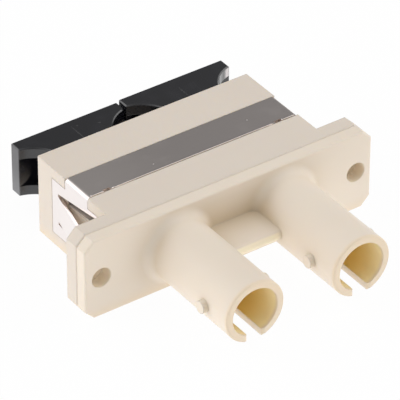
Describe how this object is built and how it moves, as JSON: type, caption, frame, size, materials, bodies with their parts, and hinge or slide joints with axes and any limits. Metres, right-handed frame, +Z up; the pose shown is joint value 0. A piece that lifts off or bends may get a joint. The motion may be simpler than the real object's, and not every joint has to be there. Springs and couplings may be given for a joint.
{
  "type": "st to sc fibre adapter",
  "caption": "Duplex fibre optic adapter: flanged body with bayonet ST barrels in front, capped SC ports behind, a steel panel clip and screw ears.",
  "frame": {"origin": "midway between the two screw holes, on the flange face that meets the panel", "axes": "+X along the flange from left to right port, +Y out of the SC ports, -Y out of the ST barrels, +Z up, away from the side with the keyways"},
  "size_m": [0.0346, 0.0331, 0.0092],
  "materials": {
    "housing_plastic": "fine moulded satin",
    "spring_steel": "rolled sheet, brushed along its length",
    "latch_plastic": "moulded satin",
    "sleeve_ceramic": "ground ceramic",
    "cap_plastic": "semi-gloss moulded"
  },
  "bodies": {
    "adapter": {"sc_housing": "housing_plastic", "st_housing": "housing_plastic", "panel_clip": "spring_steel", "sc_latch_left": "latch_plastic", "sc_latch_right": "latch_plastic", "split_sleeve_left": "sleeve_ceramic", "split_sleeve_right": "sleeve_ceramic"},
    "left_cap": {"sc_dust_cap_left": "cap_plastic"},
    "right_cap": {"sc_dust_cap_right": "cap_plastic"}
  },
  "joints": [
    {"name": "left_cap_pull", "type": "slide", "parent": "adapter", "child": "left_cap", "axis": [0, 1, 0], "range_m": [0, 0.01]},
    {"name": "right_cap_pull", "type": "slide", "parent": "adapter", "child": "right_cap", "axis": [0, 1, 0], "range_m": [0, 0.01]}
  ]
}
